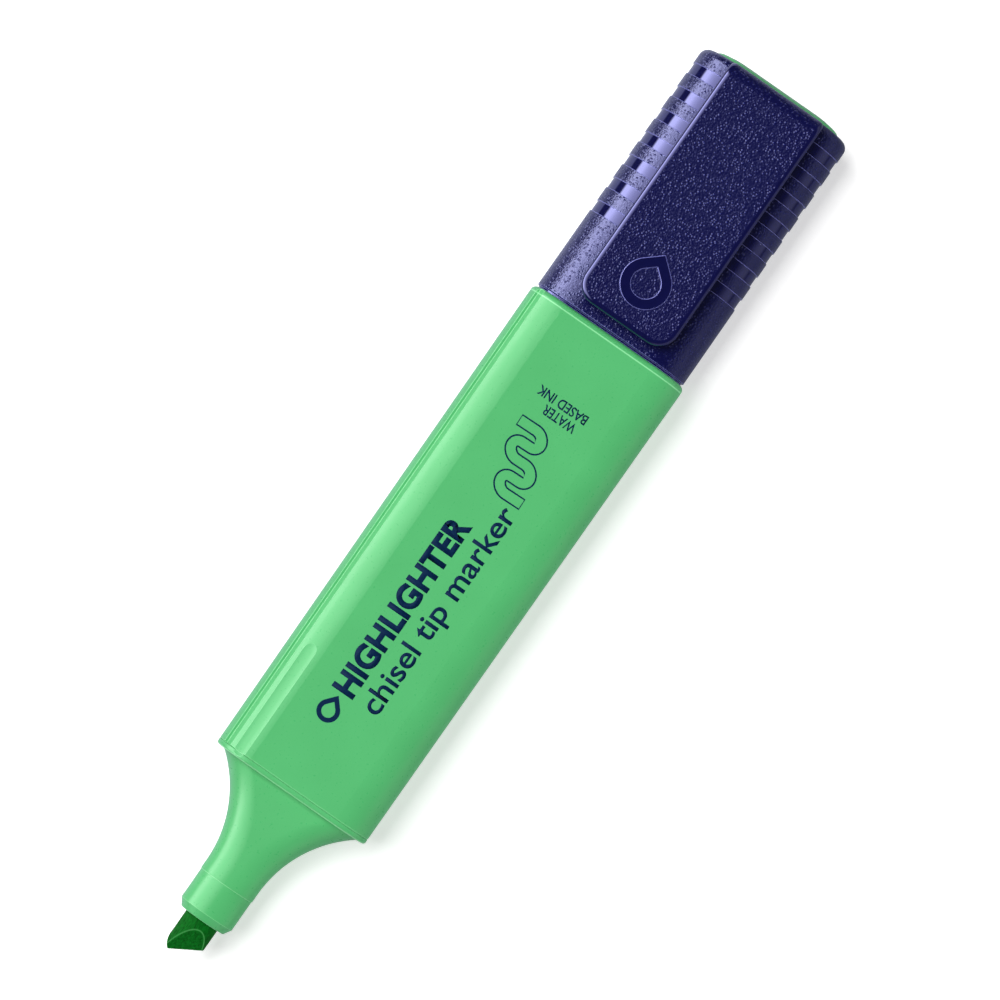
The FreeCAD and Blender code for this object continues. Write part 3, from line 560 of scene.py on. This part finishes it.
def drop_loop(radius, point, steps=40):
    """A drop: round at the left, pointed at the right, about its round part's middle."""
    lean = math.acos(radius / point)
    turn = 2 * (math.pi - lean)
    arc = [lean + turn * i / steps for i in range(steps + 1)]
    return [(point, 0)] + [(radius * math.cos(a), radius * math.sin(a)) for a in arc]


def print_drop():
    """A plain ink drop at the start of the lettering."""
    radius, point, line = 1.7, 2.6, 0.7
    inner = radius - line
    mesh = flat_mesh("print_drop", [drop_loop(radius, point), drop_loop(inner, point * inner / radius)])
    flat_layer(mesh)
    where = Matrix.Translation((*DROP_PLACE, BARREL_HIGH.z + PRINT_LIFT))
    return lay_print("print_drop", mesh, where)


def print_scribble():
    """An outlined zigzag stroke, as the marker itself would leave it."""
    line, half, turn, high, legs, slant = 0.24, 0.80, 1.29, 2.0, 5, 0.28
    straight = high - turn
    path = [Vector((0, -high))]
    for leg in range(legs - 1):
        way = 1 if leg % 2 == 0 else -1
        middle = Vector(((2 * leg + 1) * turn, way * straight))
        for step in range(25):
            angle = math.pi * (1 - step / 24)
            path.append(middle + turn * Vector((math.cos(angle), way * math.sin(angle))))
    path.append(Vector((2 * turn * (legs - 1), high if legs % 2 else -high)))
    path = [Vector((point.x - turn * (legs - 1) + slant * point.y, point.y)) for point in path]
    rails = ([], [])
    for index, point in enumerate(path):
        way = (path[min(index + 1, len(path) - 1)] - path[max(index - 1, 0)]).normalized()
        for rail, side in zip(rails, (half, -half)):
            rail.append(point + side * Vector((-way.y, way.x)))
    loop = rails[0] + rails[1][::-1]
    outer, inner = [], []
    for index, point in enumerate(loop):
        way = (loop[(index + 1) % len(loop)] - loop[index - 1]).normalized()
        aside = Vector((-way.y, way.x)) * line / 2
        outer.append(point + aside)
        inner.append(point - aside)
    mesh = flat_layer(flat_mesh("print_scribble", [outer, inner]))
    where = Matrix.Translation((*SCRIBBLE_PLACE, BARREL_HIGH.z + PRINT_LIFT))
    return lay_print("print_scribble", mesh, where @ Matrix.Rotation(SCRIBBLE_TURN, 4, "Z"))


felt_nib()
words("print_word", "HIGHLIGHTER", 30, 3.75, TEXT_START, 2.17 * MM, weight=0.045, spread=1.06)
words("print_line", "chisel tip marker", 35, 4.3, TEXT_START, -2.85 * MM, weight=0.012)
words("print_note_first", "WATER", 5.4, 1.5, SHOULDER + 65.75 * MM, -3.6 * MM, turn=math.pi / 2,
      weight=0.015)
words("print_note_second", "BASED INK", 8.3, 1.5, SHOULDER + 67.7 * MM, -4.3 * MM, turn=math.pi / 2,
      weight=0.015)
print_drop()
print_scribble()


# ---------------------------------------------------------------- floor, light, camera


def make_floor():
    """A wide pale floor that the pen lies on, which gloss doesn't mirror."""
    mesh = bpy.data.meshes.new("floor")
    corners = [(x * FLOOR_HALF, y * FLOOR_HALF) for x, y in ((-1, -1), (1, -1), (1, 1), (-1, 1))]
    mesh.from_pydata([(x, y, cad_box[0].z) for x, y in corners], [], [(0, 1, 2, 3)])
    floor = bpy.data.objects.new("floor", mesh)
    scene.collection.objects.link(floor)
    mesh.materials.append(floor_card())
    floor.visible_glossy = False


def levels(tree, value, stops):
    """A grey that follows a value between -1 and 1 through (value, level) stops."""
    half = add_node(tree, "ShaderNodeMapRange", Value=value, From_Min=-1, From_Max=1)
    ramp = tree.nodes.new("ShaderNodeValToRGB")
    tree.links.new(half.outputs["Result"], ramp.inputs["Fac"])
    points = ramp.color_ramp.elements
    places = [(stop + 1) / 2 for stop, _ in stops]
    points[0].position, points[1].position = places[0], places[-1]
    for position in places[1:-1]:
        points.new(position)
    for point, (_, level) in zip(points, stops):
        point.color = (level, level, level, 1)
    return ramp.outputs["Color"]


def combine(tree, operation, first, second):
    """Two vectors or colours, multiplied, scaled or added."""
    made = tree.nodes.new("ShaderNodeVectorMath")
    made.operation = operation
    tree.links.new(first, made.inputs[0])
    if operation == "SCALE":
        made.inputs["Scale"].default_value = second
    elif isinstance(second, bpy.types.NodeSocket):
        tree.links.new(second, made.inputs[1])
    else:
        made.inputs[1].default_value = second
    return made.outputs["Vector"]


def make_world():
    """The studio that gloss mirrors: a soft box on the pen's left, a table below, a dim right side.

    It lights no matt surface, which the lamps do; the camera sees plain white.
    """
    world = bpy.data.worlds.new("studio")
    scene.world = world
    world.use_nodes = True
    world.cycles_visibility.diffuse = False
    tree = world.node_tree
    background = tree.nodes["Background"]
    direction = tree.nodes.new("ShaderNodeTexCoord").outputs["Generated"]
    split = add_node(tree, "ShaderNodeSeparateXYZ", Vector=direction)
    along, left, high = split.outputs
    box = combine(tree, "MULTIPLY",
                  levels(tree, high, BOX_LEVELS),
                  levels(tree, left, ((0.05, 0), (0.25, 1))))
    box = combine(tree, "MULTIPLY", box,
                  levels(tree, along, ((-0.85, 0), (-0.6, 1), (0.3, 1), (0.55, 0))))
    fill = combine(tree, "MULTIPLY",
                   levels(tree, high, ((-0.36, 0), (-0.15, 1), (0.10, 1), (0.45, 0))),
                   levels(tree, left, ((-0.4, 1), (-0.1, 0))))
    table = combine(tree, "MULTIPLY",
                    levels(tree, high, ((-0.42, 1), (-0.36, 0))),
                    levels(tree, left, ((-0.1, 0.25), (0.2, 1))))
    light = combine(tree, "ADD",
                    combine(tree, "SCALE", box, BOX_LIGHT),
                    combine(tree, "SCALE", fill, FILL_LIGHT))
    light = combine(tree, "ADD", light, combine(tree, "MULTIPLY", table, TABLE_LIGHT))
    light = combine(tree, "ADD", light, DIM_LIGHT)
    seen = tree.nodes.new("ShaderNodeLightPath").outputs["Is Camera Ray"]
    shown = tree.nodes.new("ShaderNodeMix")
    shown.data_type = "RGBA"
    tree.links.new(seen, shown.inputs["Factor"])
    tree.links.new(light, shown.inputs["A"])
    shown.inputs["B"].default_value = SEEN_LIGHT
    tree.links.new(shown.outputs["Result"], background.inputs["Color"])


def make_lamp(name, aside, size, power):
    """A square lamp that isn't mirrored, turned aside in degrees from straight above the pen."""
    data = bpy.data.lights.new(name, "AREA")
    data.size = size
    data.energy = power
    lamp = bpy.data.objects.new(name, data)
    scene.collection.objects.link(lamp)
    turn = Matrix.Rotation(math.radians(-aside), 4, "X")
    lamp.matrix_world = turn @ Matrix.Translation((0, 0, LAMP_AWAY))
    lamp.visible_glossy = False
    lamp.visible_camera = False


def make_camera():
    """A long lens over the pen, turned so that the pen leans across the frame."""
    data = bpy.data.cameras.new("camera")
    data.sensor_width = SENSOR_WIDTH
    data.lens = LENS
    camera = bpy.data.objects.new("camera", data)
    scene.collection.objects.link(camera)
    back = Vector((-math.sin(CAMERA_TIP), 0, math.cos(CAMERA_TIP)))
    right = Vector((math.cos(CAMERA_LEAN), -math.sin(CAMERA_LEAN), 0))
    right = (right - right.dot(back) * back).normalized()
    up = back.cross(right)
    turn = Matrix((right, up, back)).transposed().to_4x4()
    camera.matrix_world = Matrix.Translation(CAMERA_TARGET + back * CAMERA_AWAY) @ turn
    scene.camera = camera


make_floor()
make_world()
make_lamp("key_lamp", 27, 1.0, 39.5)
make_lamp("right_lamp", -86, 0.3, 15)
make_camera()
scene.view_settings.view_transform = "Standard"
